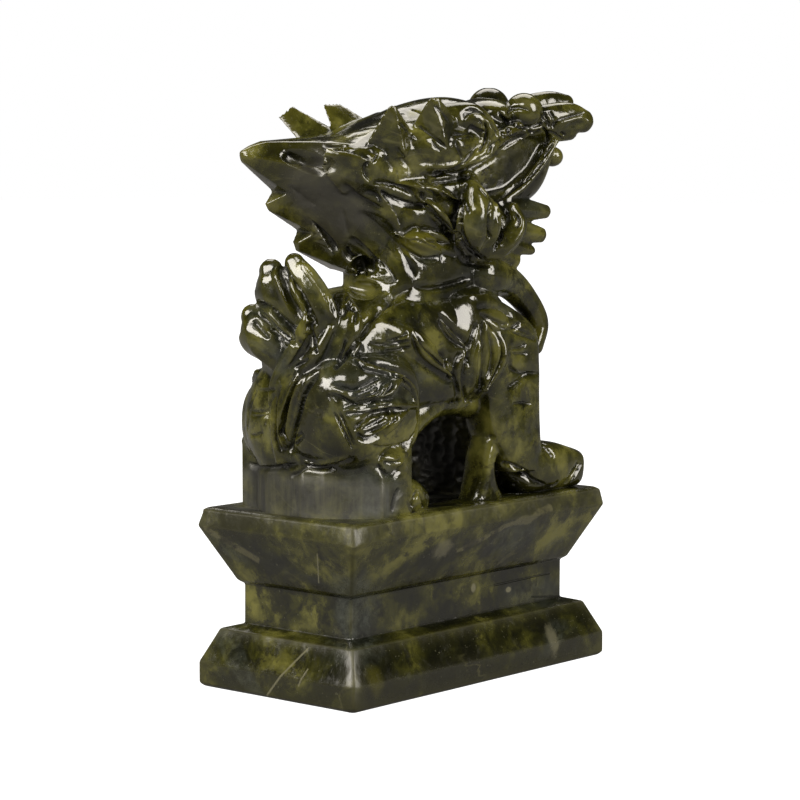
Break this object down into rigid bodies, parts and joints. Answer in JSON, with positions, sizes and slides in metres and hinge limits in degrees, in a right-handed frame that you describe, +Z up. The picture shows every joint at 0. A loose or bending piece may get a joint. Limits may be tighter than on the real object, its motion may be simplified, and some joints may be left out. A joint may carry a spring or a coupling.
{
  "type": "dragon figurine",
  "caption": "Dragon-headed beast carved in polished serpentine, sitting on its haunches on a moulded rectangular plinth, all cut from one block of stone.",
  "frame": {"origin": "middle of the plinth's underside", "axes": "+Z up, +X along the plinth's length, the way the beast looks"},
  "size_m": [0.0989, 0.0518, 0.1482],
  "materials": {
    "serpentine": "polished dark olive-green stone with paler veins"
  },
  "bodies": {
    "root": {"dragon_figurine": "serpentine"}
  },
  "joints": []
}
